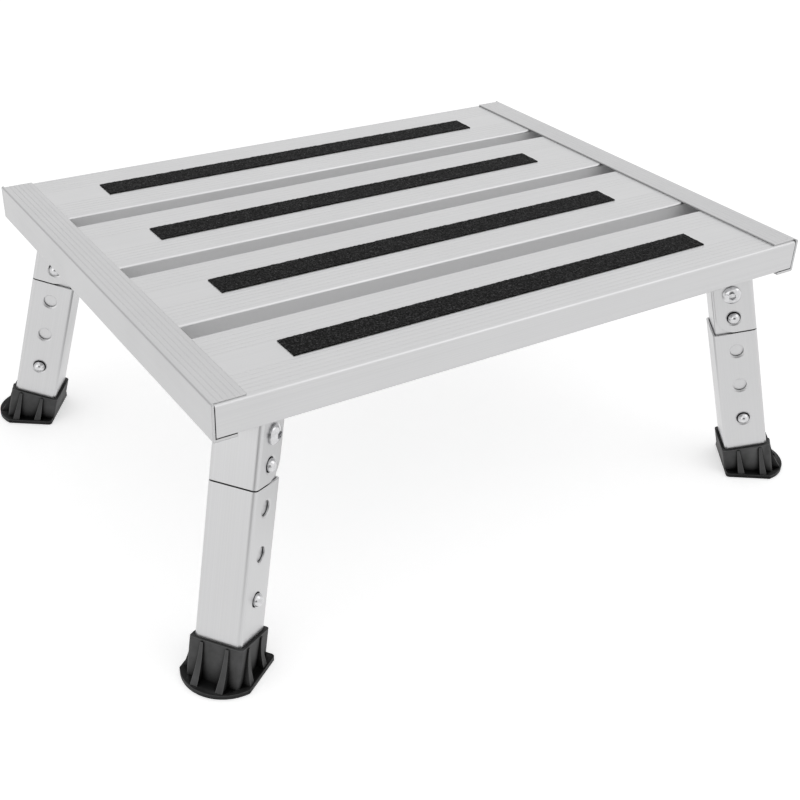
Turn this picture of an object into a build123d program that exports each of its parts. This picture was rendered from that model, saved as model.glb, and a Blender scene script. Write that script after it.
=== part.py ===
from build123d import *
import os
from math import cos, radians, sin

# Folding caravan entry step: a slatted aluminium platform on four splayed telescopic legs.
# Millimetres and degrees. +Z is up, the front faces -Y, and the origin is on the ground under the middle.

# Platform
platform_length = 480.0
step_height = 200.0
slat_count = 4
slat_depth = 80.0
slat_gap = 18.3
slat_wall = 1.6
slat_top_radius = 2.2
slat_bottom_radius = 1.5
slat_end_gap = 0.6

# Tread surface
groove_pitch = 4.35
groove_width = 1.2
groove_depth = 0.2
strip_land = 27.6
strip_length = 343.0
strip_width = 21.5
strip_thickness = 0.9
strip_corner_radius = 1.0

# End channels
channel_height = 25.6
channel_wall = 1.8
channel_top_wall = 1.2
channel_top_width = 23.2
channel_bottom_width = 16.0
channel_corner_radius = 1.2
channel_groove_pitch = 3.63
channel_groove_width = 1.0
channel_groove_depth = 0.2

# Blind rivets
rivet_diameter = 4.0
rivet_clearance = 0.1
rivet_head_diameter = 7.0
rivet_head_height = 1.3
rivet_head_crown = 4.6
rivet_bulb_diameter = 5.6
rivet_bulb_length = 2.6
slat_rivet_spacing = 40.0

# Leg layout
leg_yaw = 35.2
leg_splay = 14.5
pivot_inset_x = 36.3
pivot_inset_y = 27.4
pivot_headroom = 2.5

# Leg brackets
bracket_wall = 1.6
bracket_bend_radius = 1.4
bracket_reach = 32.4
bracket_setback = 3.6
bracket_corner_radius = 14.0
ear_reach = 12.0
ear_length = 18.0
ear_corner_radius = 3.0

# Leg tubes
tube_width = 33.4
tube_wall = 1.6
tube_corner_radius = 3.0
tube_clearance = 0.4
inner_tube_wall = 1.5
inner_tube_corner_radius = 1.6
seam_gap = 1.0
hole_count = 3
hole_top_margin = 15.6
hole_bottom_margin = 27.5

# Spring buttons and their clips
button_diameter = 8.8
button_clearance = 0.8
button_stand = 4.0
button_dome = 3.0
rim_dimple_width = 1.3
rim_dimple_depth = 0.5
fold_button_drop = 20.1
clip_width = 8.4
clip_thickness = 0.8
clip_length = 30.0
clip_pad = 6.0
clip_bend_radius = 2.4
inner_tube_tail = 4.0

# Pivot bolts and nuts
bolt_diameter = 8.0
bolt_clearance = 0.2
bolt_head_diameter = 14.0
bolt_head_height = 4.4
bolt_head_rim = 1.4
bolt_socket_width = 5.0
bolt_socket_depth = 2.6
bolt_end = 2.0
nut_width = 13.0
nut_height = 6.5
nut_collar_diameter = 11.4
nut_collar_height = 1.8

# Feet
foot_collar_height = 25.4
foot_wall = 2.2
foot_socket_gap = 0.1
foot_sole = 3.5
foot_corner_radius = 2.2
foot_rim_radius = 0.8
base_thickness = 3.0
base_half_width = 25.4
base_nose = 29.7
base_shoulder = 15.4
base_corner_radius = 2.5
rib_top_width = 2.0
rib_toe_width = 5.0
rib_top_reach = 1.2
rib_rim_drop = 1.2
rib_edge_margin = 1.2
nose_rib_spacing = 18.0
side_rib_spacing = 17.2
side_rib_shift = 1.9

# Worked-out sizes
platform_depth = slat_count * slat_depth + (slat_count - 1) * slat_gap
slat_height = channel_height - channel_top_wall - channel_wall
slat_length = platform_length - 2 * (channel_wall + slat_end_gap)
slat_top = step_height - channel_top_wall
slat_underside = slat_top - slat_height
sleeve_wall = max(tube_wall, bracket_wall)
inner_width = tube_width - 2 * (sleeve_wall + tube_clearance)
pivot_height = slat_underside - pivot_headroom - inner_width / 2
splay_sin = sin(radians(leg_splay))
splay_cos = cos(radians(leg_splay))

# Levels along the leg, measured up the leg from the pivot
ground_level = -pivot_height / splay_cos
rim_level = ground_level + foot_collar_height
tube_top_level = -(bracket_reach + seam_gap)
tube_end_level = ground_level + (foot_sole + tube_width / 2 * splay_sin) / splay_cos
fold_level = -fold_button_drop
first_hole_level = tube_top_level - hole_top_margin
height_level = rim_level + hole_bottom_margin
hole_pitch = (first_hole_level - height_level) / (hole_count - 1)
inner_end_level = height_level - clip_length - inner_tube_tail

button_hole_diameter = button_diameter + 2 * button_clearance
bolt_hole_diameter = bolt_diameter + bolt_clearance
rivet_hole_diameter = rivet_diameter + rivet_clearance

corners = {
    "front_left": (-1, -1),
    "front_right": (1, -1),
    "rear_left": (-1, 1),
    "rear_right": (1, 1),
}
tilt = Rot(0, -leg_splay, 0)


def upright_frame(side_x, side_y):
    """Frame at a leg's pivot: X points outwards along the leg's plane, Z points up."""
    yaw = radians(leg_yaw)
    outward = (side_x * cos(yaw), side_y * sin(yaw), 0)
    pivot_x = side_x * (platform_length / 2 - pivot_inset_x)
    pivot_y = side_y * (platform_depth / 2 - pivot_inset_y)
    return Plane(origin=(pivot_x, pivot_y, pivot_height), x_dir=outward, z_dir=(0, 0, 1)).location


def leg_frame(side_x, side_y):
    """Frame at a leg's pivot: Z points up the splayed leg."""
    return upright_frame(side_x, side_y) * tilt


def ear_rivet_places():
    """Centres of one bracket's rivets in its upright frame, at the slats' underside."""
    inner_edge, outer_edge = ear_span()
    middle = (inner_edge + outer_edge) / 2
    across = tube_width / 2 + ear_reach / 2
    level = slat_underside - pivot_height
    return [
        (middle + along * ear_length / 4, side * across, level)
        for side in (-1, 1)
        for along in (-1, 1)
    ]


def ear_span():
    """The ears' two ends along the leg's plane, from the bracket's open edge outwards."""
    level = slat_underside - pivot_height
    inner_edge = (bracket_setback - tube_width / 2 - level * splay_sin) / splay_cos
    return inner_edge, inner_edge + ear_length


def bracket_rivet_frames():
    frames = []
    for side_x, side_y in corners.values():
        frame = upright_frame(side_x, side_y)
        frames += [frame * Pos(*place) for place in ear_rivet_places()]
    return frames


def slat_middle(index):
    return -platform_depth / 2 + slat_depth / 2 + index * (slat_depth + slat_gap)


def slat_rivet_frames():
    across = platform_length / 2 - (channel_wall + channel_bottom_width) / 2
    frames = []
    for index in range(slat_count):
        for side_x in (-1, 1):
            for along in (-1, 1):
                y = slat_middle(index) + along * slat_rivet_spacing / 2
                frames.append(Pos(side_x * across, y, slat_underside))
    return frames


def drill(solid, frames, diameter, depth):
    """Cut a round hole through the sheets that meet at each frame's origin."""
    for frame in frames:
        solid -= frame * Cylinder(diameter / 2, 2 * depth)
    return solid


def grooves(width, depth, pitch, count, first, level):
    """Side-by-side V grooves in a section's top edge."""
    groove = Polygon((-width, depth), (0, -depth), (width, depth), align=None)
    return [Pos(first + index * pitch, level) * groove for index in range(count)]


# Tread slats: closed extrusions with a middle web, a land for the strip and grooves beside it
def slat_section():
    section = Rectangle(slat_depth, slat_height)
    section = fillet(section.vertices().group_by(Axis.Y)[-1], slat_top_radius)
    section = fillet(section.vertices().group_by(Axis.Y)[0], slat_bottom_radius)
    top = slat_height / 2
    grooved = (slat_depth - strip_land) / 2 - slat_top_radius
    count = int(grooved / groove_pitch) + 1
    reach = strip_land / 2 + (count - 1) * groove_pitch
    for first in (strip_land / 2, -reach):
        section -= grooves(groove_width, groove_depth, groove_pitch, count, first, top)
    chamber_width = (slat_depth - 3 * slat_wall) / 2
    chamber_height = slat_height - 2 * slat_wall - groove_depth
    for side in (-1, 1):
        centre = Pos(side * (chamber_width + slat_wall) / 2, -groove_depth / 2)
        section -= centre * Rectangle(chamber_width, chamber_height)
    return section


def tread_slat(index):
    y = slat_middle(index)
    section = Plane.YZ * Pos(y, slat_top - slat_height / 2) * slat_section()
    slat = extrude(section, amount=slat_length / 2, both=True)
    near = [
        frame
        for frame in slat_rivet_frames() + bracket_rivet_frames()
        if abs(frame.position.Y - y) < slat_depth / 2
    ]
    return drill(slat, near, rivet_hole_diameter, 2 * slat_wall)


def grip_strip(index):
    outline = RectangleRounded(strip_length, strip_width, strip_corner_radius)
    return Pos(0, slat_middle(index), slat_top) * extrude(outline, amount=strip_thickness)


# End channels: C sections, open towards the middle, grooved on top and cut back at the slats' edges
def end_channel(side_x):
    half = channel_height / 2
    section = Pos(channel_wall / 2, 0) * Rectangle(channel_wall, channel_height)
    flanges = ((channel_top_width, channel_top_wall, 1), (channel_bottom_width, channel_wall, -1))
    for width, wall, side in flanges:
        section += Pos(width / 2, side * (half - wall / 2)) * Rectangle(width, wall)
    section = fillet(section.vertices().group_by(Axis.X)[0], channel_corner_radius)
    count = int((channel_top_width - 2 * channel_corner_radius) / channel_groove_pitch)
    middle = (channel_top_width + channel_corner_radius) / 2
    first = middle - (count - 1) * channel_groove_pitch / 2
    section -= grooves(
        channel_groove_width, channel_groove_depth, channel_groove_pitch, count, first, half
    )
    placed = Plane.XZ * Pos(-platform_length / 2, step_height - half) * section
    channel = extrude(placed, amount=platform_depth / 2, both=True)
    cut_back = Box(channel_top_width, 2 * slat_top_radius, 2 * channel_top_wall)
    cut_middle = channel_wall + (channel_top_width - platform_length) / 2
    for side_y in (-1, 1):
        channel -= Pos(cut_middle, side_y * platform_depth / 2, step_height) * cut_back
    if side_x > 0:
        channel = mirror(channel, about=Plane.YZ)
    near = [frame for frame in slat_rivet_frames() if frame.position.X * side_x > 0]
    return drill(channel, near, rivet_hole_diameter, 2 * channel_wall)


def domed_stud(diameter, length, dome):
    """Round stud from Z = 0 upwards, with a spherical cap of the given height on its end."""
    radius = diameter / 2
    ball = (radius**2 + dome**2) / (2 * dome)
    return Pos(0, 0, length / 2) * Cylinder(radius, length) & Pos(0, 0, length - ball) * Sphere(ball)


def blind_rivet(outer_sheet, inner_sheet):
    """Rivet through two sheets that meet at Z = 0, with its tapered head below."""
    head = Cone(rivet_head_crown / 2, rivet_head_diameter / 2, rivet_head_height)
    rivet = Pos(0, 0, -outer_sheet - rivet_head_height / 2) * head
    shank = outer_sheet + inner_sheet
    rivet += Pos(0, 0, inner_sheet - shank / 2) * Cylinder(rivet_diameter / 2, shank)
    bulb = Cylinder(rivet_bulb_diameter / 2, rivet_bulb_length)
    return rivet + Pos(0, 0, inner_sheet + rivet_bulb_length / 2) * bulb


# Leg brackets: U sheets, open inwards, with two ears under the slat
def bracket_section():
    outer = Rectangle(tube_width, tube_width)
    outer_radius = bracket_bend_radius + bracket_wall
    outer = fillet(outer.vertices().group_by(Axis.X)[-1], outer_radius)
    hollow = Rectangle(tube_width, tube_width - 2 * bracket_wall)
    hollow = fillet(hollow.vertices().group_by(Axis.X)[-1], bracket_bend_radius)
    return outer - Pos(-bracket_wall, 0) * hollow


def leg_bracket():
    """One bracket in its upright frame."""
    level = slat_underside - pivot_height
    height = bracket_reach + 2 * level
    sleeve = Pos(0, 0, -bracket_reach) * extrude(bracket_section(), amount=height)
    side_view = Rectangle(tube_width - bracket_setback, height)
    side_view = Pos(bracket_setback / 2, height / 2 - bracket_reach) * side_view
    swing_corner = side_view.vertices().group_by(Axis.Y)[0].sort_by(Axis.X)[0]
    side_view = fillet(swing_corner, bracket_corner_radius)
    sleeve &= extrude(Plane.XZ * side_view, amount=tube_width / 2, both=True)
    sleeve = cross_holes(sleeve, [0], bolt_hole_diameter)
    sleeve = dimpled_holes(sleeve, [fold_level])
    bracket = split(tilt * sleeve, bisect_by=Plane.XY.offset(level), keep=Keep.BOTTOM)
    ear = Rectangle(ear_length, ear_reach + bracket_wall)
    ear = fillet(ear.vertices().group_by(Axis.Y)[-1], ear_corner_radius)
    inner_edge, outer_edge = ear_span()
    across = tube_width / 2 + (ear_reach - bracket_wall) / 2
    seat = Pos((inner_edge + outer_edge) / 2, across, level - bracket_wall)
    ear = seat * extrude(ear, amount=bracket_wall)
    bracket += [ear, mirror(ear, about=Plane.XZ)]
    rivet_frames = [Pos(*place) for place in ear_rivet_places()]
    return drill(bracket, rivet_frames, rivet_hole_diameter, 2 * bracket_wall)


# Pivot bolts and nuts, across the leg
def pivot_bolt():
    """Bolt along Z, its head's underside at Z = 0 and its shank below."""
    head = domed_stud(bolt_head_diameter, bolt_head_height, bolt_head_height - bolt_head_rim)
    socket = RegularPolygon(bolt_socket_width / 2, 6, major_radius=False)
    head -= Pos(0, 0, bolt_head_height - bolt_socket_depth) * extrude(socket, amount=bolt_head_height)
    length = tube_width + nut_height + nut_collar_height + bolt_end
    return head + Pos(0, 0, -length / 2) * Cylinder(bolt_diameter / 2, length)


def pivot_nut():
    """Lock nut along Z, its seat at Z = 0 and its collar below."""
    body = extrude(RegularPolygon(nut_width / 2, 6, major_radius=False), amount=-nut_height)
    collar = Cylinder(nut_collar_diameter / 2, nut_collar_height)
    nut = body + Pos(0, 0, -nut_height - nut_collar_height / 2) * collar
    return nut - Cylinder(bolt_hole_diameter / 2, 4 * (nut_height + nut_collar_height))


# Leg tubes
def square_tube(width, wall, radius, bottom, top):
    section = RectangleRounded(width, width, radius)
    section -= RectangleRounded(width - 2 * wall, width - 2 * wall, radius / 2)
    return Pos(0, 0, bottom) * extrude(section, amount=top - bottom)


def cross_holes(tube, levels, diameter):
    for level in levels:
        tube -= Pos(0, 0, level) * Rot(90, 0, 0) * Cylinder(diameter / 2, 2 * tube_width)
    return tube


def dimpled_holes(tube, levels):
    """Button holes across a sleeve, with the sheet pressed in round their outer rims."""
    radius = button_hole_diameter / 2
    dimple = Cone(radius, radius + rim_dimple_width, rim_dimple_depth)
    reach = (tube_width - rim_dimple_depth) / 2
    for level in levels:
        for side in (-1, 1):
            tube -= Pos(0, side * reach, level) * Rot(-90 * side, 0, 0) * dimple
    return cross_holes(tube, levels, button_hole_diameter)


def inner_tube():
    half = inner_width / 2
    tube = square_tube(inner_width, inner_tube_wall, inner_tube_corner_radius, inner_end_level, half)
    keep = Pos(0, inner_end_level / 2) * Rectangle(inner_width, -inner_end_level) + Circle(half)
    tube &= extrude(Plane.XZ * keep, amount=half, both=True)
    tube = cross_holes(tube, [0], bolt_hole_diameter)
    return cross_holes(tube, [fold_level, height_level], button_hole_diameter)


def lower_tube():
    tube = square_tube(tube_width, tube_wall, tube_corner_radius, tube_end_level, tube_top_level)
    levels = [height_level + index * hole_pitch for index in range(hole_count)]
    return dimpled_holes(tube, levels)


# Spring clips and buttons
def spring_clip(level):
    """V-shaped leaf spring across the inner tube, its pads behind the buttons at the given level."""
    pad = inner_width / 2 - inner_tube_wall
    path = FilletPolyline(
        (-pad, level + clip_pad),
        (-pad, level - clip_pad),
        (-2 * clip_bend_radius, level - clip_length),
        (2 * clip_bend_radius, level - clip_length),
        (pad, level - clip_pad),
        (pad, level + clip_pad),
        radius=clip_bend_radius,
    )
    section = make_face(offset(path, amount=clip_thickness, side=Side.LEFT))
    return extrude(Plane.YZ * section, amount=clip_width / 2, both=True)


def spring_button(level, side):
    """Domed button on a clip's pad, on the leg's side that faces along side times Y."""
    pad = inner_width / 2 - inner_tube_wall
    stud = domed_stud(button_diameter, tube_width / 2 + button_stand - pad, button_dome)
    return Pos(0, side * pad, level) * Rot(-90 * side, 0, 0) * stud


# Feet: square collar on the leg's end, tapered ribs and a D-shaped base
def base_edge(offset_across):
    """How far the base's round nose reaches in front of the leg, at a place across it."""
    rise = base_nose - base_shoulder
    radius = (rise**2 + base_half_width**2) / (2 * rise)
    return base_nose - radius + (radius**2 - offset_across**2) ** 0.5


def foot_rib(toe_reach, toe_level, across):
    """Tapered rib on the collar's wall that faces X, with levels measured up the leg from the ground."""
    face = tube_width / 2 + foot_socket_gap + foot_wall
    root = face - foot_wall / 2
    top = foot_collar_height - rib_rim_drop
    bottom = toe_level - 2 * base_thickness
    start = (face + rib_top_reach, top)
    edge = TangentArc(start, (toe_reach, toe_level), tangent=(0, -1))
    rest = Polyline((toe_reach, toe_level), (toe_reach, bottom), (root, bottom), (root, top), start)
    side_view = extrude(Plane.XZ * make_face(edge + rest), amount=rib_toe_width, both=True)
    front_view = Polygon(
        (-rib_top_width / 2, top),
        (-rib_toe_width / 2, toe_level),
        (-rib_toe_width / 2, bottom),
        (rib_toe_width / 2, bottom),
        (rib_toe_width / 2, toe_level),
        (rib_top_width / 2, top),
        align=None,
    )
    rib = side_view & extrude(Plane.YZ * front_view, amount=toe_reach)
    return Pos(0, across, 0) * rib


def foot():
    """One foot in its leg's upright frame."""
    socket = tube_width + 2 * foot_socket_gap
    collar_width = socket + 2 * foot_wall
    collar_section = RectangleRounded(collar_width, collar_width, foot_corner_radius)
    below = collar_width * splay_sin
    collar = Pos(0, 0, -below) * extrude(collar_section, amount=foot_collar_height + below)
    collar = fillet(collar.faces().sort_by(Axis.Z)[-1].edges(), foot_rim_radius)
    toe = base_edge((nose_rib_spacing + rib_toe_width) / 2) - rib_edge_margin
    toe_reach = toe * splay_cos + base_thickness * splay_sin
    toe_level = base_thickness * splay_cos - toe * splay_sin
    for across in (-nose_rib_spacing / 2, nose_rib_spacing / 2):
        collar += foot_rib(toe_reach, toe_level, across)
    for along in (side_rib_shift - side_rib_spacing / 2, side_rib_shift + side_rib_spacing / 2):
        toe_level = (base_thickness - along * splay_sin) / splay_cos
        rib = foot_rib(base_half_width - rib_edge_margin, toe_level, 0)
        collar += Pos(along, 0, 0) * Rot(0, 0, 90) * rib
        collar += Pos(along, 0, 0) * Rot(0, 0, -90) * rib
    body = tilt * Pos(0, 0, ground_level) * collar
    inner = -collar_width / 2 / splay_cos
    sides = Polyline(
        (base_shoulder, -base_half_width),
        (inner, -base_half_width),
        (inner, base_half_width),
        (base_shoulder, base_half_width),
    )
    nose = ThreePointArc((base_shoulder, base_half_width), (base_nose, 0), (base_shoulder, -base_half_width))
    outline = make_face(sides + nose)
    outline = fillet(outline.vertices().group_by(Axis.X)[0], base_corner_radius)
    axis_on_ground = pivot_height * splay_sin / splay_cos
    body += Pos(axis_on_ground, 0, -pivot_height) * extrude(outline, amount=base_thickness)
    body = split(body, bisect_by=Plane.XY.offset(-pivot_height), keep=Keep.TOP)
    cavity = RectangleRounded(socket, socket, tube_corner_radius + foot_socket_gap)
    hole = Pos(0, 0, tube_end_level) * extrude(cavity, amount=2 * foot_collar_height)
    return body - tilt * hole


def export(name, solid):
    export_step(solid, f"parts/{name}.step")


os.makedirs("parts", exist_ok=True)

for index in range(slat_count):
    export(f"tread_slat_{index + 1}", tread_slat(index))
    export(f"grip_strip_{index + 1}", grip_strip(index))
export("end_channel_left", end_channel(-1))
export("end_channel_right", end_channel(1))

slat_rivet = blind_rivet(channel_wall, slat_wall)
export("slat_rivets", Compound([frame * slat_rivet for frame in slat_rivet_frames()]))
bracket_rivet = blind_rivet(bracket_wall, slat_wall)
export("bracket_rivets", Compound([frame * bracket_rivet for frame in bracket_rivet_frames()]))

bolts = []
nuts = []
for corner, (side_x, side_y) in corners.items():
    upright = upright_frame(side_x, side_y)
    leg = leg_frame(side_x, side_y)
    head_side = side_x * side_y
    across = leg * Rot(-90 * head_side, 0, 0)
    bolts.append(across * Pos(0, 0, tube_width / 2) * pivot_bolt())
    nuts.append(across * Pos(0, 0, -tube_width / 2) * pivot_nut())
    export(f"leg_bracket_{corner}", upright * leg_bracket())
    export(f"inner_tube_{corner}", leg * inner_tube())
    export(f"lower_tube_{corner}", leg * lower_tube())
    export(f"foot_{corner}", upright * foot())
    for purpose, level in (("fold", fold_level), ("height", height_level)):
        export(f"{purpose}_clip_{corner}", leg * spring_clip(level))
        for facing, toward in (("fore", -1), ("aft", 1)):
            side = toward * side_x
            export(f"{purpose}_button_{corner}_{facing}", leg * spring_button(level, side))
export("pivot_bolts", Compound(bolts))
export("pivot_nuts", Compound(nuts))
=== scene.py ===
from math import atan2, cos, pi, radians, sin, tan

import bpy
from mathutils import Matrix, Vector


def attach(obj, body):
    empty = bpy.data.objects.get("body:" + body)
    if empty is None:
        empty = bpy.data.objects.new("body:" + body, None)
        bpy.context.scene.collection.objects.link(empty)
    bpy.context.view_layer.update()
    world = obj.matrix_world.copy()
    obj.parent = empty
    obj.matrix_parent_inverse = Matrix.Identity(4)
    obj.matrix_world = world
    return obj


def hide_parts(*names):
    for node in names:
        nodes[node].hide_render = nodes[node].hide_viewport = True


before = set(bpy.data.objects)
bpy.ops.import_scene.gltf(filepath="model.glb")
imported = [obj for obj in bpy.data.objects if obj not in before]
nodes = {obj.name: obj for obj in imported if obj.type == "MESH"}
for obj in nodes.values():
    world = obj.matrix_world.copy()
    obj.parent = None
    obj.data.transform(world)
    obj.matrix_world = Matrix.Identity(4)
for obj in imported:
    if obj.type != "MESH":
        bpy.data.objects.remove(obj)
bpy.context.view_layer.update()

MM = 0.001

# Sizes shared with the solids, in metres and radians
platform_length = 480 * MM
platform_depth = 374.9 * MM
slat_pitch = 98.3 * MM
slat_gap = 18.3 * MM
slat_middles = [(index - 1.5) * slat_pitch for index in range(4)]
pivot_inset = (36.3 * MM, 27.4 * MM)
pivot_height = 159.0 * MM
leg_yaw = radians(35.2)
leg_splay = radians(14.5)
tube_half = 16.7 * MM
bracket_setback = 3.6 * MM
ground_level = -pivot_height / cos(leg_splay)
fold_level = -20.1 * MM
height_level = ground_level + 52.9 * MM
button_seat = 13.2 * MM
slat_top = 198.8 * MM
slat_top_radius = 2.2 * MM
slat_underside = 176.2 * MM
touching = 1e-6  # places nearer than this are taken as one
corners = {
    "front_left": (-1, -1),
    "front_right": (1, -1),
    "rear_left": (-1, 1),
    "rear_right": (1, 1),
}


def upright_frame(side_x, side_y):
    """Frame at a leg's pivot: X points outwards, Z points up."""
    place = Vector((
        side_x * (platform_length / 2 - pivot_inset[0]),
        side_y * (platform_depth / 2 - pivot_inset[1]),
        pivot_height,
    ))
    turn = atan2(side_y * sin(leg_yaw), side_x * cos(leg_yaw))
    return Matrix.Translation(place) @ Matrix.Rotation(turn, 4, "Z")


def leg_frame(side_x, side_y):
    """Frame at a leg's pivot: Z points up the splayed leg."""
    return upright_frame(side_x, side_y) @ Matrix.Rotation(-leg_splay, 4, "Y")


# Finishes
# Reach of the painted shade in seams, holes and corners
seam_shade_reach = 2.5 * MM


def new_finish(name, metallic=0.0):
    finish = bpy.data.materials.new(name)
    finish.use_nodes = True
    shader = finish.node_tree.nodes["Principled BSDF"]
    shader.inputs["Metallic"].default_value = metallic
    return finish, finish.node_tree, shader


def colour_and_sheen(tree, shader, colour, roughness):
    tree.links.new(colour, shader.inputs["Base Color"])
    tree.links.new(roughness, shader.inputs["Roughness"])


def add_node(tree, kind, values=None, **settings):
    node = tree.nodes.new(kind)
    for name, value in settings.items():
        setattr(node, name, value)
    for socket, value in (values or {}).items():
        node.inputs[socket].default_value = value
    return node


def surface_noise(tree, scale, detail=3.0, stretch=(1, 1, 1), turn=(0, 0, 0)):
    """Noise on the piece's own coordinates, turned and stretched first."""
    place = add_node(tree, "ShaderNodeTexCoord")
    turned = add_node(tree, "ShaderNodeMapping", {"Rotation": turn}, vector_type="TEXTURE")
    stretched = add_node(tree, "ShaderNodeMapping", {"Scale": stretch})
    noise = add_node(tree, "ShaderNodeTexNoise", {"Scale": scale, "Detail": detail})
    tree.links.new(place.outputs["Object"], turned.inputs["Vector"])
    tree.links.new(turned.outputs["Vector"], stretched.inputs["Vector"])
    tree.links.new(stretched.outputs["Vector"], noise.inputs["Vector"])
    return noise.outputs["Fac"]


def shade_range(tree, factor, low, high, from_low=0.3, from_high=0.7):
    """Spread a factor between two values."""
    spread = add_node(
        tree,
        "ShaderNodeMapRange",
        {"From Min": from_low, "From Max": from_high, "To Min": low, "To Max": high},
    )
    tree.links.new(factor, spread.inputs["Value"])
    return spread.outputs["Result"]


def up_to(tree, measure, limit, fade):
    """1 where a measure stays below the limit, fading to 0 just past it."""
    return shade_range(tree, measure, 1.0, 0.0, limit, limit + fade)


def colour_range(tree, factor, low, high, from_low=0.3, from_high=0.7):
    """Spread a factor between two colours."""
    ramp = add_node(tree, "ShaderNodeValToRGB")
    ends = zip(ramp.color_ramp.elements, (from_low, from_high), (low, high))
    for end, position, colour in ends:
        end.position = position
        end.color = (*colour, 1)
    tree.links.new(factor, ramp.inputs["Fac"])
    return ramp.outputs["Color"]


def in_the_open(tree, reach):
    """1 on open faces, towards 0 in seams, holes and corners within the given reach."""
    shelter = add_node(tree, "ShaderNodeAmbientOcclusion", {"Distance": reach}, samples=12)
    return shelter.outputs["AO"]


def darken_for_shade_and_tone(tree, colour, factor, depth, from_low, from_high):
    """Darken a colour where the factor is low: painted shade in seams and hollows when the factor is
    the occlusion, a random tone when it is noise.
    """
    tone = colour_range(tree, factor, (depth, depth, depth), (1, 1, 1), from_low, from_high)
    mixed = add_node(tree, "ShaderNodeMix", {"Factor": 1.0}, data_type="RGBA", blend_type="MULTIPLY")
    tree.links.new(colour, mixed.inputs[6])
    tree.links.new(tone, mixed.inputs[7])
    return mixed.outputs[2]


def edge_highlight_mask(tree, reach):
    """0 on flat faces, towards 1 on edges, where a highlight is painted."""
    softened = add_node(tree, "ShaderNodeBevel", {"Radius": reach}, samples=8)
    surface = add_node(tree, "ShaderNodeNewGeometry")
    turned = add_node(tree, "ShaderNodeVectorMath", operation="DOT_PRODUCT")
    tree.links.new(softened.outputs["Normal"], turned.inputs[0])
    tree.links.new(surface.outputs["True Normal"], turned.inputs[1])
    return shade_range(tree, turned.outputs["Value"], 0.0, 1.0, 0.99, 0.80)


def relief(tree, shader, heights, edge_radius=0.0):
    """Bumps from (height, strength, distance) in turn, over softened edges."""
    normal = None
    if edge_radius:
        softened = add_node(tree, "ShaderNodeBevel", {"Radius": edge_radius}, samples=6)
        normal = softened.outputs["Normal"]
    for height, strength, distance in heights:
        bump = add_node(tree, "ShaderNodeBump", {"Strength": strength, "Distance": distance})
        tree.links.new(height, bump.inputs["Height"])
        if normal is not None:
            tree.links.new(normal, bump.inputs["Normal"])
        normal = bump.outputs["Normal"]
    tree.links.new(normal, shader.inputs["Normal"])


def mixed_colour(tree, factor, colour, other):
    """A linked colour, blended towards a plain one by the factor."""
    mixed = add_node(tree, "ShaderNodeMix", {7: (*other, 1)}, data_type="RGBA")
    tree.links.new(factor, mixed.inputs[0])
    tree.links.new(colour, mixed.inputs[6])
    return mixed.outputs[2]


def own_axis(tree, measure, axis):
    """One axis of the piece's own place ("Object") or direction ("Normal")."""
    place = add_node(tree, "ShaderNodeTexCoord")
    axes = add_node(tree, "ShaderNodeSeparateXYZ")
    tree.links.new(place.outputs[measure], axes.inputs["Vector"])
    return axes.outputs[axis]


def product(tree, *factors):
    whole = factors[0]
    for factor in factors[1:]:
        step = add_node(tree, "ShaderNodeMath", operation="MULTIPLY")
        tree.links.new(whole, step.inputs[0])
        tree.links.new(factor, step.inputs[1])
        whole = step.outputs["Value"]
    return whole


def facing_slat_sides(tree):
    """1 on the upright sides where two slats face each other, 0 elsewhere."""
    across, upward = own_axis(tree, "Object", "Y"), own_axis(tree, "Object", "Z")
    from_gap = add_node(tree, "ShaderNodeMath", {1: slat_pitch / 2}, operation="PINGPONG")
    from_middle = add_node(tree, "ShaderNodeMath", operation="ABSOLUTE")
    for measure in (from_gap, from_middle):
        tree.links.new(across, measure.inputs[0])
    return product(
        tree,
        up_to(tree, from_gap.outputs["Value"], slat_gap / 2 + 0.2 * MM, 0.2 * MM),
        up_to(tree, from_middle.outputs["Value"], 1.2 * slat_pitch, 0.1 * slat_pitch),
        up_to(tree, upward, slat_top - slat_top_radius, 0.5 * MM),
    )


def matt_and_painted_paler_sides(finish):
    """Make the slats' facing sides matt, and paint them paler to lift the shade in the gaps between
    slats.
    """
    painted_paler_colour, matt_roughness, matt_metallic = (0.69, 0.69, 0.695), 0.65, 0.25
    tree = finish.node_tree
    shader = tree.nodes["Principled BSDF"]
    sides = facing_slat_sides(tree)
    colour = shader.inputs["Base Color"].links[0].from_socket
    sheen = shader.inputs["Roughness"].links[0].from_socket
    rougher = add_node(tree, "ShaderNodeMix", {3: matt_roughness})
    tree.links.new(sides, rougher.inputs[0])
    tree.links.new(sheen, rougher.inputs[2])
    # Painted light: the sides in the gaps get a paler colour to lift their shade.
    painted_paler = mixed_colour(tree, sides, colour, painted_paler_colour)
    colour_and_sheen(tree, shader, painted_paler, rougher.outputs[0])
    tree.links.new(shade_range(tree, sides, 1.0, matt_metallic, 0.0, 1.0), shader.inputs["Metallic"])


def satin_aluminium(name, low, high, along, turn=(0, 0, 0), edge_radius=0.5 * MM):
    """Anodised extrusion: fine die lines along one direction, a soft cloudiness in its sheen, and
    painted shade in its seams.
    """
    finish, tree, shader = new_finish(name, metallic=1.0)
    die_lines = surface_noise(tree, 1.0, 2.0, along, turn)
    clouds = surface_noise(tree, 22.0, 4.0)
    grain = surface_noise(tree, 2600.0, 2.0)
    lined = colour_range(tree, die_lines, low, high, 0.25, 0.75)
    # Painted shade: the colour darkens in seams, holes and corners, where shade falls.
    seam_shaded = darken_for_shade_and_tone(tree, lined, in_the_open(tree, seam_shade_reach), 0.03, 0.25, 0.5)
    colour_and_sheen(tree, shader, seam_shaded, shade_range(tree, clouds, 0.30, 0.38))
    relief(tree, shader, [(die_lines, 0.012, 0.2 * MM), (grain, 0.03, 0.1 * MM)], edge_radius)
    return finish


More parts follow.
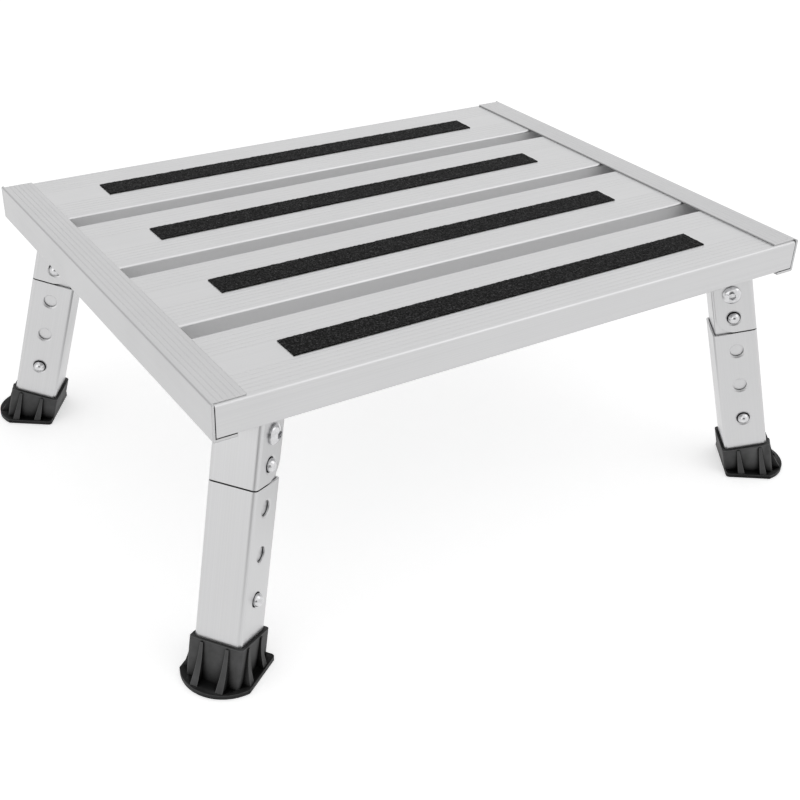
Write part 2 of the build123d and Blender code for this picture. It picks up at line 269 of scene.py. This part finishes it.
def plated_steel():
    """Bright plating, a little tarnished, with painted shade in the corners."""
    finish, tree, shader = new_finish("plated_steel", metallic=1.0)
    tarnish = surface_noise(tree, 350.0, 5.0)
    plated = colour_range(tree, tarnish, (0.58, 0.58, 0.59), (0.74, 0.74, 0.75))
    # Painted shade: darker in corners and seams, where shade falls.
    seam_shaded = darken_for_shade_and_tone(tree, plated, in_the_open(tree, seam_shade_reach), 0.2, 0.2, 0.75)
    colour_and_sheen(tree, shader, seam_shaded, shade_range(tree, tarnish, 0.07, 0.16))
    relief(tree, shader, [(surface_noise(tree, 900.0), 0.03, 0.2 * MM)])
    return finish


def rivet_aluminium():
    """Bare aluminium, scuffed by the setting tool."""
    finish, tree, shader = new_finish("rivet_aluminium", metallic=1.0)
    scuffs = surface_noise(tree, 700.0, 4.0)
    bare = colour_range(tree, scuffs, (0.50, 0.50, 0.51), (0.62, 0.62, 0.63))
    colour_and_sheen(tree, shader, bare, shade_range(tree, scuffs, 0.32, 0.48))
    relief(tree, shader, [(scuffs, 0.05, 0.2 * MM)], 0.4 * MM)
    return finish


def spring_steel():
    """Dark tempered strip with a fine grain."""
    finish, tree, shader = new_finish("spring_steel", metallic=1.0)
    temper = surface_noise(tree, 160.0, 4.0)
    dark = colour_range(tree, temper, (0.16, 0.16, 0.17), (0.27, 0.27, 0.28))
    colour_and_sheen(tree, shader, dark, shade_range(tree, temper, 0.3, 0.45))
    relief(tree, shader, [(surface_noise(tree, 1500.0), 0.05, 0.2 * MM)], 0.3 * MM)
    return finish


def grit():
    """Black mineral grit: crowded grains, a few of which catch the light."""
    finish, tree, shader = new_finish("grit")
    shader.inputs["Specular IOR Level"].default_value = 0.12
    place = add_node(tree, "ShaderNodeTexCoord")
    grains = add_node(tree, "ShaderNodeTexVoronoi", {"Scale": 1400.0, "Randomness": 1.0})
    tree.links.new(place.outputs["Object"], grains.inputs["Vector"])
    clumps = surface_noise(tree, 480.0, 4.0)
    by_grain = add_node(tree, "ShaderNodeSeparateColor")
    tree.links.new(grains.outputs["Color"], by_grain.inputs["Color"])
    glint, dullness = by_grain.outputs["Red"], by_grain.outputs["Green"]
    speckle = colour_range(tree, glint, (0.002, 0.002, 0.002), (0.085, 0.085, 0.087), 0.70, 1.0)
    shaded = darken_for_shade_and_tone(tree, speckle, clumps, 0.35, 0.35, 0.65)
    colour_and_sheen(tree, shader, shaded, shade_range(tree, dullness, 0.55, 0.95, 0.0, 1.0))
    relief(tree, shader, [(clumps, 0.35, 0.6 * MM), (grains.outputs["Distance"], 0.6, 0.4 * MM)])
    return finish


def moulded_rubber():
    """Dark moulded foot: fine spark texture, paler scuffs, painted shade in its hollows and on its
    low ledges, and painted highlights along its edges.
    """
    finish, tree, shader = new_finish("moulded_rubber")
    shader.inputs["Specular IOR Level"].default_value = 0.14
    scuffs = surface_noise(tree, 120.0, 6.0)
    spark = surface_noise(tree, 2200.0, 3.0)
    openness = in_the_open(tree, 14 * MM)
    dusty = colour_range(tree, scuffs, (0.067, 0.067, 0.067), (0.1, 0.1, 0.101))
    # Painted shade: darker in the hollows between the ribs.
    hollow_shaded = darken_for_shade_and_tone(tree, dusty, openness, 0.01, 0.46, 0.94)
    # Painted shade: near black on the base's upward-facing ledge, low down between the ribs.
    upward = shade_range(tree, own_axis(tree, "Normal", "Z"), 0.0, 0.75, 0.7, 0.9)
    ledge = up_to(tree, own_axis(tree, "Object", "Z"), 3.2 * MM, 0.8 * MM)
    ledge_shaded = mixed_colour(tree, product(tree, upward, ledge), hollow_shaded, (0.004, 0.004, 0.004))
    # Painted highlight: a paler colour along the open edges of the foot.
    exposed = shade_range(tree, openness, 0.0, 0.8, 0.6, 0.85)
    edge_highlight = product(tree, edge_highlight_mask(tree, 0.8 * MM), exposed)
    edge_highlighted = mixed_colour(tree, edge_highlight, ledge_shaded, (0.17, 0.17, 0.17))
    colour_and_sheen(tree, shader, edge_highlighted, shade_range(tree, scuffs, 0.45, 0.62))
    relief(tree, shader, [(spark, 0.12, 0.2 * MM)])
    return finish


def dress(node_name, finish):
    for slot in nodes[node_name].material_slots:
        slot.material = finish


# Darker and paler tone of each extrusion, and the noise scales across and along its die lines
slat_low, slat_high = (0.622, 0.622, 0.627), (0.658, 0.658, 0.663)
channel_low, channel_high = (0.575, 0.575, 0.58), (0.61, 0.61, 0.615)
leg_low, leg_high = (0.617, 0.617, 0.622), (0.652, 0.652, 0.657)
fine, drawn_out = 1400, 4
slat_finish = satin_aluminium("slat_aluminium", slat_low, slat_high, (drawn_out, fine, fine))
matt_and_painted_paler_sides(slat_finish)
channel_finish = satin_aluminium(
    "channel_aluminium", channel_low, channel_high, (fine, drawn_out, fine), edge_radius=1.2 * MM
)
steel_finish = plated_steel()
rivet_finish = rivet_aluminium()
spring_finish = spring_steel()
grit_finish = grit()
foot_finish = moulded_rubber()

for index in range(4):
    dress(f"tread_slat_{index + 1}", slat_finish)
for side in ("left", "right"):
    dress(f"end_channel_{side}", channel_finish)
for corner, (side_x, side_y) in corners.items():
    lean = tuple(leg_frame(side_x, side_y).to_euler("XYZ"))
    finish_name = f"leg_aluminium_{corner}"
    leg_finish = satin_aluminium(finish_name, leg_low, leg_high, (fine, fine, drawn_out), lean)
    for piece in ("leg_bracket", "inner_tube", "lower_tube"):
        dress(f"{piece}_{corner}", leg_finish)
    for purpose in ("fold", "height"):
        dress(f"{purpose}_clip_{corner}", spring_finish)


# Modelling steps
def clear_selection():
    if bpy.context.mode != "OBJECT":
        bpy.ops.object.mode_set(mode="OBJECT")
    bpy.ops.object.select_all(action="DESELECT")


def pick(piece):
    clear_selection()
    piece.select_set(True)
    bpy.context.view_layer.objects.active = piece


def new_solid(add, name, stretch=(1, 1, 1), **settings):
    """A primitive alone in the selection, with its size and place moved into its mesh."""
    clear_selection()
    add(**settings)
    solid = bpy.context.object
    solid.name = name
    solid.scale = stretch
    bpy.ops.object.transform_apply()
    return solid


def edit_part(piece, kind, chosen):
    """Open a piece in edit mode with only the chosen faces or edges selected."""
    pick(piece)
    bpy.ops.object.mode_set(mode="EDIT")
    bpy.ops.mesh.select_mode(type=kind)
    bpy.ops.mesh.select_all(action="DESELECT")
    bpy.ops.object.mode_set(mode="OBJECT")
    mesh = piece.data
    for part in mesh.polygons if kind == "FACE" else mesh.edges:
        corners_of_part = [mesh.vertices[v].co for v in part.vertices]
        part.select = chosen(corners_of_part)
    bpy.ops.object.mode_set(mode="EDIT")


def trim(piece, point, normal):
    """Cut a piece by a plane, drop what the normal points at and close the cut."""
    pick(piece)
    bpy.ops.object.mode_set(mode="EDIT")
    bpy.ops.mesh.select_all(action="SELECT")
    bpy.ops.mesh.bisect(
        plane_co=point, plane_no=normal, use_fill=True, clear_outer=True, threshold=touching
    )
    bpy.ops.object.mode_set(mode="OBJECT")


def combine(piece, other, operation):
    pick(piece)
    step = piece.modifiers.new("combine", "BOOLEAN")
    step.operation = operation
    step.solver = "EXACT"
    step.object = other
    bpy.ops.object.modifier_apply(modifier=step.name)
    bpy.data.objects.remove(other)


def soften_edges(piece, width, segments=2):
    pick(piece)
    step = piece.modifiers.new("soften", "BEVEL")
    step.width = width
    step.segments = segments
    step.limit_method = "ANGLE"
    step.angle_limit = radians(35)
    bpy.ops.object.modifier_apply(modifier=step.name)
    bpy.ops.object.shade_smooth_by_angle(angle=radians(40))


def tidy_faces(piece):
    pick(piece)
    bpy.ops.object.mode_set(mode="EDIT")
    bpy.ops.mesh.select_all(action="SELECT")
    bpy.ops.mesh.remove_doubles(threshold=2 * touching)
    bpy.ops.mesh.dissolve_limited(angle_limit=radians(0.5))
    bpy.ops.object.mode_set(mode="OBJECT")


def placed_copy(model, name, place):
    pick(model)
    bpy.ops.object.duplicate()
    piece = bpy.context.object
    piece.name = name
    piece.matrix_world = place
    bpy.ops.object.transform_apply()
    return piece


def join_pieces(pieces, name):
    clear_selection()
    for piece in pieces:
        piece.select_set(True)
    bpy.context.view_layer.objects.active = pieces[0]
    bpy.ops.object.join()
    pieces[0].name = name
    return pieces[0]


def seat(piece, finish, slot, body, *replaced):
    piece.data.materials.clear()
    piece.data.materials.append(finish)
    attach(piece, body)
    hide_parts(*replaced)


def is_upright(ends):
    return abs(ends[0].x - ends[1].x) + abs(ends[0].y - ends[1].y) < touching


# Grip strips: rough grit on a thin backing
def grip_strip():
    length, width, thickness = 343 * MM, 21.5 * MM, 0.9 * MM
    strip = new_solid(
        bpy.ops.mesh.primitive_grid_add,
        "grip_strip",
        x_subdivisions=343,
        y_subdivisions=22,
        size=1,
        location=(0, 0, slat_top + thickness),
        stretch=(length, width, 1),
    )
    grains = strip.vertex_groups.new(name="grains")
    grains.add([v.index for v in strip.data.vertices], 1.0, "REPLACE")
    pick(strip)
    bpy.ops.object.mode_set(mode="EDIT")
    bpy.ops.mesh.select_mode(type="EDGE")
    bpy.ops.mesh.select_all(action="SELECT")
    bpy.ops.mesh.region_to_loop()
    bpy.ops.mesh.extrude_region_move(TRANSFORM_OT_translate={"value": (0, 0, -thickness)})
    bpy.ops.object.vertex_group_remove_from()
    bpy.ops.mesh.edge_face_add()
    bpy.ops.object.mode_set(mode="OBJECT")
    crust = bpy.data.textures.new("grit_crust", "CLOUDS")
    crust.noise_scale = 1.6 * MM
    crust.noise_depth = 3
    roughening = (("Y", 0.5, 1.0 * MM), ("X", 0.5, 1.0 * MM), ("Z", 0.9, 0.5 * MM))
    for direction, level, strength in roughening:
        step = strip.modifiers.new("crust", "DISPLACE")
        step.texture = crust
        step.texture_coords = "LOCAL"
        step.direction = direction
        step.vertex_group = "grains"
        step.mid_level = level
        step.strength = strength
        bpy.ops.object.modifier_apply(modifier=step.name)
    return strip


# Pivot bolts and nuts, along Z with their seats at Z = 0
thread_radius = 4 * MM
shank_length = 43.7 * MM


def domed_head(radius, height, dome, segments=48):
    """A round head from Z = 0 upwards, with a spherical cap of the given height."""
    ball = (radius**2 + dome**2) / (2 * dome)
    head = new_solid(
        bpy.ops.mesh.primitive_uv_sphere_add,
        "domed_head",
        segments=segments,
        ring_count=segments,
        radius=ball,
        location=(0, 0, height - ball),
    )
    rim = height - dome
    trim(head, (0, 0, rim), (0, 0, -1))
    edit_part(head, "FACE", lambda spots: max(abs(p.z - rim) for p in spots) < touching)
    bpy.ops.mesh.extrude_region_move(TRANSFORM_OT_translate={"value": (0, 0, -rim)})
    bpy.ops.object.mode_set(mode="OBJECT")
    return head


def round_bar(name, radius, low, high, sides=48):
    return new_solid(
        bpy.ops.mesh.primitive_cylinder_add,
        name,
        vertices=sides,
        radius=radius,
        depth=high - low,
        location=(0, 0, (low + high) / 2),
    )


def hexagon_radius(across_flats):
    return across_flats / 2 / cos(pi / 6)


def pivot_bolt():
    bolt = domed_head(radius=7 * MM, height=4.4 * MM, dome=3.0 * MM)
    socket = round_bar("socket", hexagon_radius(5 * MM), 1.6 * MM, 6 * MM, 6)
    combine(bolt, socket, "DIFFERENCE")
    shank = round_bar("shank", thread_radius, -shank_length, 0.5 * MM)
    combine(bolt, shank, "UNION")
    soften_edges(bolt, 0.25 * MM)
    return bolt


def pivot_nut():
    nut = round_bar("nut", hexagon_radius(13 * MM), -6.5 * MM, 0, 6)
    chamfer = new_solid(
        bpy.ops.mesh.primitive_cone_add,
        "chamfer",
        vertices=48,
        radius1=6.4 * MM,
        radius2=11.4 * MM,
        depth=8 * MM,
        location=(0, 0, -2.5 * MM),
    )
    combine(nut, chamfer, "INTERSECT")
    collar = round_bar("collar", 5.7 * MM, -8.3 * MM, -3 * MM)
    combine(nut, collar, "UNION")
    bore = round_bar("bore", thread_radius + 0.1 * MM, -20 * MM, 20 * MM)
    combine(nut, bore, "DIFFERENCE")
    soften_edges(nut, 0.3 * MM)
    return nut


# Spring buttons and rivets
def spring_button():
    button = domed_head(radius=4.4 * MM, height=7.5 * MM, dome=3.0 * MM)
    soften_edges(button, 0.3 * MM, 3)
    return button


def rivet():
    """Blind rivet head with the dimple of its broken mandrel, on a short shank."""
    head = domed_head(radius=3.5 * MM, height=1.3 * MM, dome=1.0 * MM, segments=24)
    mandrel = round_bar("mandrel", 1.0 * MM, 0.8 * MM, 3 * MM, 16)
    combine(head, mandrel, "DIFFERENCE")
    shank = round_bar("shank", 2.0 * MM, -1.4 * MM, 0.4 * MM, 24)
    combine(head, shank, "UNION")
    soften_edges(head, 0.12 * MM, 1)
    return head


# Feet about the point where the leg's axis meets the ground: X outwards, Z up
base_half_width = 25.4 * MM
base_nose = 29.7 * MM
base_shoulder = 15.4 * MM
base_thickness = 3 * MM
base_corner = 2.5 * MM
sole_thickness = 3.5 * MM
collar_half = 19 * MM
collar_height = 25.4 * MM
collar_corner = 2.2 * MM
socket_corner = 3.1 * MM
socket_clearance = 0.1 * MM
rib_width = 5 * MM
rib_taper = 0.4
rib_steps = 9
rib_inset = 1.2 * MM
rib_into_wall, rib_into_base = 1.4 * MM, 6 * MM
rib_top = collar_height - rib_inset
rib_top_reach = collar_half + rib_inset
nose_rib_offset = 9 * MM
side_rib_places = (-6.7 * MM, 10.5 * MM)
nose_rise = base_nose - base_shoulder
nose_radius = (nose_rise**2 + base_half_width**2) / (2 * nose_rise)


def foot_base():
    base = new_solid(
        bpy.ops.mesh.primitive_cylinder_add,
        "foot_base",
        vertices=128,
        radius=nose_radius,
        depth=base_thickness,
        location=(base_nose - nose_radius, 0, base_thickness / 2),
    )
    trim(base, (base_shoulder, 0, 0), (-1, 0, 0))
    inner = -collar_half / cos(leg_splay)
    edit_part(base, "FACE", lambda spots: max(p.x for p in spots) < base_shoulder + touching)
    length = inner - base_shoulder
    bpy.ops.mesh.extrude_region_move(TRANSFORM_OT_translate={"value": (length, 0, 0)})
    bpy.ops.object.mode_set(mode="OBJECT")
    edit_part(base, "EDGE", lambda ends: is_upright(ends) and ends[0].x < inner + touching)
    bpy.ops.mesh.bevel(offset=base_corner, segments=6, affect="EDGES")
    bpy.ops.object.mode_set(mode="OBJECT")
    return base


def square_bar(name, half_width, radius, low, high):
    bar = new_solid(
        bpy.ops.mesh.primitive_cube_add,
        name,
        size=1,
        location=(0, 0, (low + high) / 2),
        stretch=(2 * half_width, 2 * half_width, high - low),
    )
    edit_part(bar, "EDGE", is_upright)
    bpy.ops.mesh.bevel(offset=radius, segments=6, affect="EDGES")
    bpy.ops.object.mode_set(mode="OBJECT")
    return bar


def foot_rib(toe_reach, toe_level):
    """Rib on the collar's wall that faces X: thin and low at the rim, wide and long at its toe."""
    root, bottom = collar_half - rib_into_wall, toe_level - rib_into_base
    rib = new_solid(
        bpy.ops.mesh.primitive_cube_add,
        "foot_rib",
        size=1,
        location=((root + toe_reach) / 2, 0, (bottom + rib_top) / 2),
        stretch=(toe_reach - root, rib_width, rib_top - bottom),
    )
    pick(rib)
    bpy.ops.object.mode_set(mode="EDIT")
    for step in range(rib_steps):
        bpy.ops.mesh.select_all(action="SELECT")
        level = toe_level + step * (rib_top - toe_level) / rib_steps
        bpy.ops.mesh.bisect(plane_co=(0, 0, level), plane_no=(0, 0, 1), threshold=touching)
    bpy.ops.object.mode_set(mode="OBJECT")
    run, drop = toe_reach - rib_top_reach, rib_top - toe_level
    bend = (run**2 + drop**2) / (2 * run)
    for vertex in rib.data.vertices:
        below = min(rib_top - vertex.co.z, drop)
        vertex.co.y *= rib_taper + (1 - rib_taper) * below / drop
        if vertex.co.x > root + touching:
            vertex.co.x = rib_top_reach + bend - (bend**2 - below**2) ** 0.5
    return rib


def foot_moulding():
    base = foot_base()
    below = 2 * collar_half * sin(leg_splay)
    collar = square_bar("collar", collar_half, collar_corner, -below, collar_height)
    ribs = []
    rib_edge = nose_rib_offset + rib_width / 2
    toe = base_nose - nose_radius + (nose_radius**2 - rib_edge**2) ** 0.5 - rib_inset
    toe_reach = toe * cos(leg_splay) + base_thickness * sin(leg_splay)
    toe_level = base_thickness * cos(leg_splay) - toe * sin(leg_splay)
    for across in (-nose_rib_offset, nose_rib_offset):
        rib = foot_rib(toe_reach, toe_level)
        rib.data.transform(Matrix.Translation((0, across, 0)))
        ribs.append(rib)
    for along in side_rib_places:
        for turn in (-pi / 2, pi / 2):
            level = (base_thickness - along * sin(leg_splay)) / cos(leg_splay)
            rib = foot_rib(base_half_width - rib_inset, level)
            rib.data.transform(Matrix.Translation((along, 0, 0)) @ Matrix.Rotation(turn, 4, "Z"))
            ribs.append(rib)
    for rib in ribs:
        combine(collar, rib, "UNION")
    collar.data.transform(Matrix.Rotation(-leg_splay, 4, "Y"))
    combine(base, collar, "UNION")
    tube_end = (sole_thickness + tube_half * sin(leg_splay)) / cos(leg_splay)
    socket_half = tube_half + socket_clearance
    socket = square_bar("socket", socket_half, socket_corner, tube_end, 2 * collar_height)
    socket.data.transform(Matrix.Rotation(-leg_splay, 4, "Y"))
    combine(base, socket, "DIFFERENCE")
    trim(base, (0, 0, 0), (0, 0, -1))
    tidy_faces(base)
    soften_edges(base, 0.4 * MM)
    return base


# Placing: each model is copied to its places, and then removed
strip_model = grip_strip()
for index, middle in enumerate(slat_middles):
    piece = placed_copy(strip_model, f"grit_strip_{index + 1}", Matrix.Translation((0, middle, 0)))
    seat(piece, grit_finish, "grit", "platform", f"grip_strip_{index + 1}")
bpy.data.objects.remove(strip_model)

bolt_model, nut_model = pivot_bolt(), pivot_nut()
button_model, foot_model, rivet_model = spring_button(), foot_moulding(), rivet()
bolts, nuts, ear_rivets = [], [], []
ear_length, ear_thickness = 18 * MM, 1.6 * MM
ear_rivet_out, ear_rivet_step = 22.7 * MM, 4.5 * MM
ear_level = slat_underside - pivot_height
ear_start = (bracket_setback - tube_half) / cos(leg_splay) - ear_level * tan(leg_splay)
ear_middle = ear_start + ear_length / 2
for corner, (side_x, side_y) in corners.items():
    upright, leg = upright_frame(side_x, side_y), leg_frame(side_x, side_y)
    across = leg @ Matrix.Rotation(-pi / 2 * side_x * side_y, 4, "X")
    bolts.append(placed_copy(bolt_model, "bolt", across @ Matrix.Translation((0, 0, tube_half))))
    nuts.append(placed_copy(nut_model, "nut", across @ Matrix.Translation((0, 0, -tube_half))))
    ground = upright @ Matrix.Translation((pivot_height * tan(leg_splay), 0, -pivot_height))
    foot = placed_copy(foot_model, f"moulded_foot_{corner}", ground)
    seat(foot, foot_finish, "foot_rubber", f"lower_leg_{corner}", f"foot_{corner}")
    for purpose, button_level in (("fold", fold_level), ("height", height_level)):
        for facing, toward in (("fore", -1), ("aft", 1)):
            side = toward * side_x
            place = leg @ Matrix.Translation((0, side * button_seat, button_level))
            place = place @ Matrix.Rotation(-pi / 2 * side, 4, "X")
            node = f"{purpose}_button_{corner}_{facing}"
            button = placed_copy(button_model, f"{purpose}_stud_{corner}_{facing}", place)
            seat(button, steel_finish, "plated_steel", node, node)
    for side in (-1, 1):
        for along in (-ear_rivet_step, ear_rivet_step):
            spot = (ear_middle + along, side * ear_rivet_out, ear_level - ear_thickness)
            place = upright @ Matrix.Translation(spot) @ Matrix.Rotation(pi, 4, "X")
            ear_rivets.append(placed_copy(rivet_model, "ear_rivet", place))

end_rivets = []
end_rivet_out, end_rivet_step = platform_length / 2 - 8.9 * MM, 20 * MM
flange_level = slat_underside - 1.8 * MM
for middle in slat_middles:
    for side_x in (-1, 1):
        for along in (-end_rivet_step, end_rivet_step):
            spot = (side_x * end_rivet_out, middle + along, flange_level)
            place = Matrix.Translation(spot) @ Matrix.Rotation(pi, 4, "X")
            end_rivets.append(placed_copy(rivet_model, "end_rivet", place))
for model in (bolt_model, nut_model, button_model, foot_model, rivet_model):
    bpy.data.objects.remove(model)
for pieces, name, finish, slot, node in (
    (bolts, "bolt_heads", steel_finish, "plated_steel", "pivot_bolts"),
    (nuts, "lock_nuts", steel_finish, "plated_steel", "pivot_nuts"),
    (ear_rivets, "ear_rivets", rivet_finish, "rivet_aluminium", "bracket_rivets"),
    (end_rivets, "end_rivets", rivet_finish, "rivet_aluminium", "slat_rivets"),
):
    seat(join_pieces(pieces, name), finish, slot, "platform", node)


# Floor, light and camera
def studio_floor():
    """White to the camera but for the step's shadow. To glossy rays it glows white instead, dimmed in
    two painted places that the metal mirrors: a dark patch off to the front left and a painted shadow
    under the step.
    """
    clear_selection()
    just_below = (0, 0, -0.5 * MM)
    bpy.ops.mesh.primitive_circle_add(vertices=96, radius=8, fill_type="NGON", location=just_below)
    floor = bpy.context.object
    floor.name = "floor"
    finish, tree, shader = new_finish("pale_floor")
    shader.inputs["Base Color"].default_value = (0.80, 0.80, 0.80, 1)
    shader.inputs["Roughness"].default_value = 0.9
    shader.inputs["Specular IOR Level"].default_value = 0.0
    shader.inputs["Emission Color"].default_value = (1, 1, 1, 1)
    seen = add_node(tree, "ShaderNodeLightPath")
    lift_to_white = 0.51
    lift = add_node(tree, "ShaderNodeMath", {1: lift_to_white}, operation="MULTIPLY")
    tree.links.new(seen.outputs["Is Camera Ray"], lift.inputs[0])
    tree.links.new(lift.outputs["Value"], shader.inputs["Emission Strength"])
    white = add_node(tree, "ShaderNodeEmission")
    place = add_node(tree, "ShaderNodeTexCoord")
    in_metal = add_node(tree, "ShaderNodeMath", operation="MINIMUM")
    # Painted dim places in the glow that the metal mirrors: a dark patch off to the front left, and a
    # painted shadow under the step.
    dim_places = [((-0.8, -1.2, 0), 0.2, 0.3, 0.9), ((0, 0.05, 0), 0.35, 0.10, 0.24)]
    for index, (spot, depth, core, edge) in enumerate(dim_places):
        away = add_node(tree, "ShaderNodeVectorMath", {1: spot}, operation="DISTANCE")
        tree.links.new(place.outputs["Object"], away.inputs[0])
        dimmed = shade_range(tree, away.outputs["Value"], depth, 1.0, core, edge)
        tree.links.new(dimmed, in_metal.inputs[index])
    tree.links.new(in_metal.outputs["Value"], white.inputs["Strength"])
    mirrored = add_node(tree, "ShaderNodeMixShader")
    tree.links.new(seen.outputs["Is Glossy Ray"], mirrored.inputs["Fac"])
    tree.links.new(shader.outputs["BSDF"], mirrored.inputs[1])
    tree.links.new(white.outputs["Emission"], mirrored.inputs[2])
    tree.links.new(mirrored.outputs["Shader"], tree.nodes["Material Output"].inputs["Surface"])
    floor.data.materials.append(finish)


def studio_world():
    """White to the camera, and white in the metal but for two dim places off to the sides."""
    world = bpy.data.worlds.new("studio")
    bpy.context.scene.world = world
    world.use_nodes = True
    tree = world.node_tree
    background = tree.nodes["Background"]
    background.inputs["Color"].default_value = (1, 1, 1, 1)
    seen = add_node(tree, "ShaderNodeLightPath")
    place = add_node(tree, "ShaderNodeTexCoord")
    in_metal = add_node(tree, "ShaderNodeMath", operation="MINIMUM")
    dim_places = [
        ((-0.55, -0.83, 0.06), 0.12, 0.86, 0.96),
        ((-0.50, 0.72, 0.48), 0.68, 0.74, 0.93),
    ]
    for index, (direction, depth, edge, core) in enumerate(dim_places):
        toward = add_node(tree, "ShaderNodeVectorMath", {1: direction}, operation="DOT_PRODUCT")
        tree.links.new(place.outputs["Generated"], toward.inputs[0])
        dimmed = shade_range(tree, toward.outputs["Value"], 1.0, depth, edge, core)
        tree.links.new(dimmed, in_metal.inputs[index])
    plain_level = 0.7
    lit = add_node(tree, "ShaderNodeMix", {2: plain_level})
    tree.links.new(seen.outputs["Is Glossy Ray"], lit.inputs[0])
    tree.links.new(in_metal.outputs["Value"], lit.inputs[3])
    straight = add_node(tree, "ShaderNodeMath", operation="MAXIMUM")
    tree.links.new(seen.outputs["Is Camera Ray"], straight.inputs[0])
    tree.links.new(seen.outputs["Is Transmission Ray"], straight.inputs[1])
    shown = add_node(tree, "ShaderNodeMix", {3: 1.0})
    tree.links.new(straight.outputs["Value"], shown.inputs[0])
    tree.links.new(lit.outputs[0], shown.inputs[2])
    tree.links.new(shown.outputs[0], background.inputs["Strength"])


def softbox(name, place, size, power):
    bpy.ops.object.light_add(type="AREA", location=place)
    lamp = bpy.context.object
    lamp.name = name
    lamp.data.shape = "RECTANGLE"
    lamp.data.size, lamp.data.size_y = size
    lamp.data.energy = power
    step_middle = Vector((0, 0, 0.12))
    toward = step_middle - Vector(place)
    lamp.rotation_euler = toward.to_track_quat("-Z", "Y").to_euler()


def photo_camera():
    bpy.ops.object.camera_add()
    camera = bpy.context.object
    forward = Vector((0.48013, 0.70942, -0.51594))
    upward = Vector((0.25601, 0.44924, 0.85595))
    right = forward.cross(upward).normalized()
    upward = right.cross(forward).normalized()
    turn = Matrix((right, upward, -forward.normalized())).transposed()
    stand = Vector((-0.47898, -0.72840, 0.55896))
    camera.matrix_world = Matrix.Translation(stand) @ turn.to_4x4()
    camera.data.sensor_width = 36
    camera.data.lens = 55.14
    camera.data.clip_start = 0.01
    camera.data.clip_end = 100
    bpy.context.scene.camera = camera


studio_floor()
studio_world()
softbox("key_light", place=(1.2, -1.25, 1.75), size=(1.7, 1.7), power=4)
softbox("fill_light", place=(-2.1, -0.75, 0.75), size=(1.8, 1.4), power=3)
photo_camera()
bpy.context.scene.view_settings.view_transform = "Standard"
